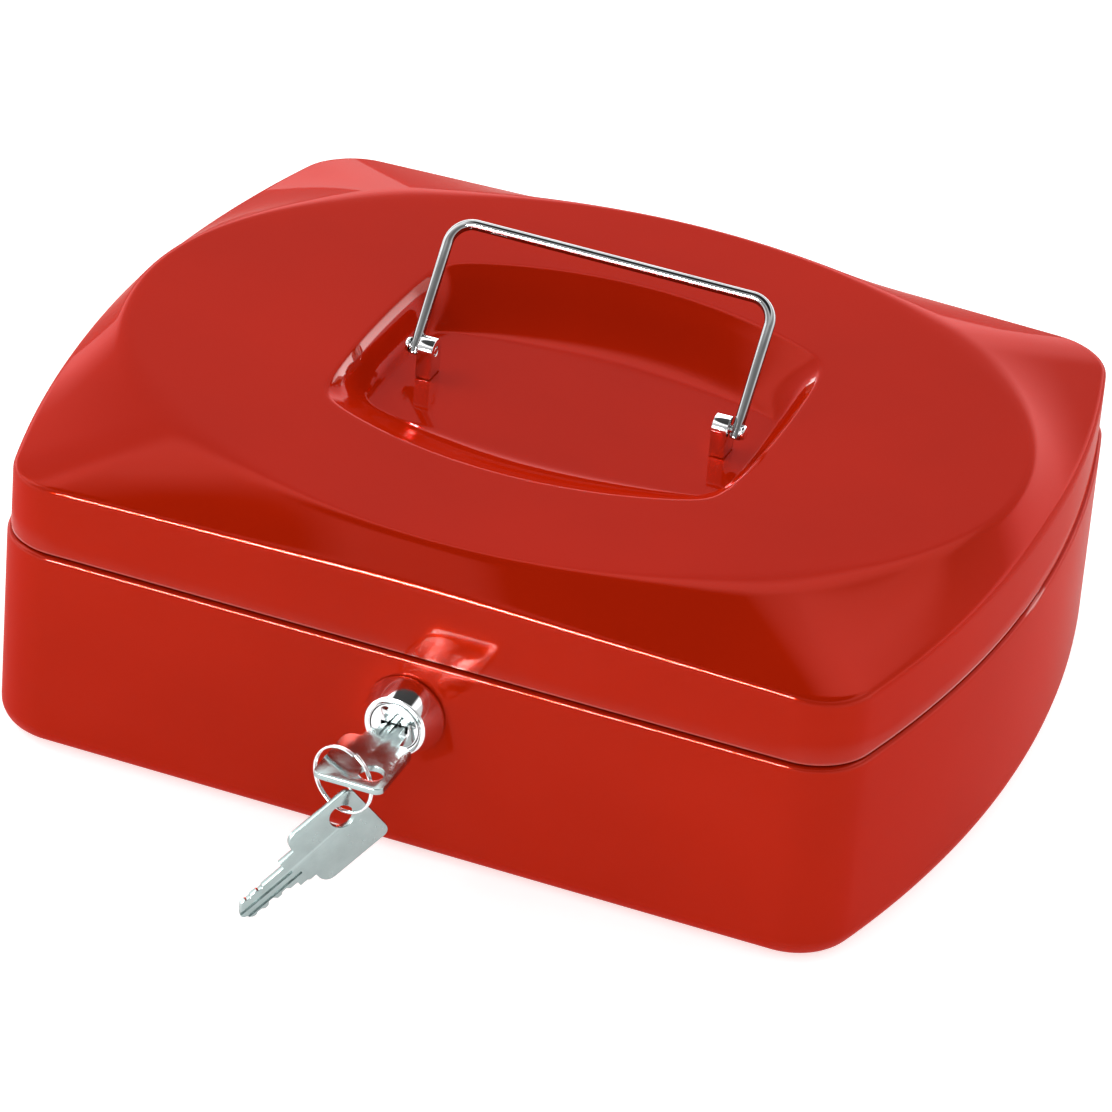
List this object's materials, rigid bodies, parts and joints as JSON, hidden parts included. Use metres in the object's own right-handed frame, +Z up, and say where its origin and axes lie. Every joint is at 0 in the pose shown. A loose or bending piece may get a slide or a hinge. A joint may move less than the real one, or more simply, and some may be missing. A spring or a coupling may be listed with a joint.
{
  "type": "cash box",
  "caption": "Low steel cash box with bulged sides, hinged lid, recessed folding bail handle, front cam lock with its key, a spare key on a ring and a lift-out coin tray inside.",
  "frame": {"origin": "middle of the flat underside of the base", "axes": "+Z up through the lid, -Y towards the lock and key, +X to the right seen from the lock side"},
  "size_m": [0.25, 0.2506, 0.1076],
  "materials": {
    "red_enamel": "high-gloss stoved enamel on pressed steel",
    "chrome_handle": "bright chrome plate",
    "chrome_lock": "bright chrome plate on the lock",
    "nickel_key": "satin nickel plate, slightly worn",
    "zinc_hardware": "bright zinc plate",
    "cam_steel": "plain dark steel",
    "tray_plastic": "black fine-grained plastic"
  },
  "bodies": {
    "base": {"base_shell": "red_enamel", "tray_rest_left": "red_enamel", "tray_rest_right": "red_enamel", "coin_tray": "tray_plastic", "hinge_left_base_leaf": "zinc_hardware", "hinge_left_pin": "zinc_hardware", "hinge_left_base_rivet_1": "zinc_hardware", "hinge_left_base_rivet_2": "zinc_hardware", "hinge_right_base_leaf": "zinc_hardware", "hinge_right_pin": "zinc_hardware", "hinge_right_base_rivet_1": "zinc_hardware", "hinge_right_base_rivet_2": "zinc_hardware", "lock_barrel": "chrome_lock", "lock_nut": "zinc_hardware"},
    "lid": {"lid_shell": "red_enamel", "hinge_left_lid_leaf": "zinc_hardware", "hinge_left_lid_rivet_1": "zinc_hardware", "hinge_left_lid_rivet_2": "zinc_hardware", "hinge_right_lid_leaf": "zinc_hardware", "hinge_right_lid_rivet_1": "zinc_hardware", "hinge_right_lid_rivet_2": "zinc_hardware", "handle_post_left": "chrome_handle", "handle_post_right": "chrome_handle", "handle_pin_left": "chrome_handle", "handle_pin_right": "chrome_handle", "handle_washer_left": "zinc_hardware", "handle_washer_right": "zinc_hardware", "lid_catch": "zinc_hardware"},
    "handle": {"handle_bail": "chrome_handle"},
    "plug": {"lock_plug": "chrome_lock", "lock_cam": "cam_steel", "cam_screw": "zinc_hardware"},
    "key": {"key_in_lock": "nickel_key"},
    "ring": {"key_ring": "nickel_key"},
    "spare": {"spare_key": "nickel_key"}
  },
  "joints": [
    {"name": "lid_hinge", "type": "hinge", "parent": "base", "child": "lid", "pos_m": [0, 0.1029, 0.0553], "axis": [-1, 0, 0], "range_deg": [0, 105]},
    {"name": "bail_pivot", "type": "hinge", "parent": "lid", "child": "handle", "pos_m": [0, 0, 0.08], "axis": [-1, 0, 0], "range_deg": [-128, 51]},
    {"name": "key_turn", "type": "hinge", "parent": "base", "child": "plug", "pos_m": [0, -0.1, 0.04], "axis": [0, 1, 0], "range_deg": [0, 90]},
    {"name": "key_pull", "type": "slide", "parent": "plug", "child": "key", "axis": [0, -1, 0], "range_m": [0, 0.022]},
    {"name": "ring_swing", "type": "hinge", "parent": "key", "child": "ring", "pos_m": [-0.004, -0.1279, 0.04], "axis": [-0.96, 0.28, 0], "range_deg": [0, 30]},
    {"name": "spare_key_swing", "type": "hinge", "parent": "ring", "child": "spare", "pos_m": [-0.004, -0.1279, 0.027], "axis": [-0.96, 0.28, 0], "range_deg": [0, 45]}
  ]
}
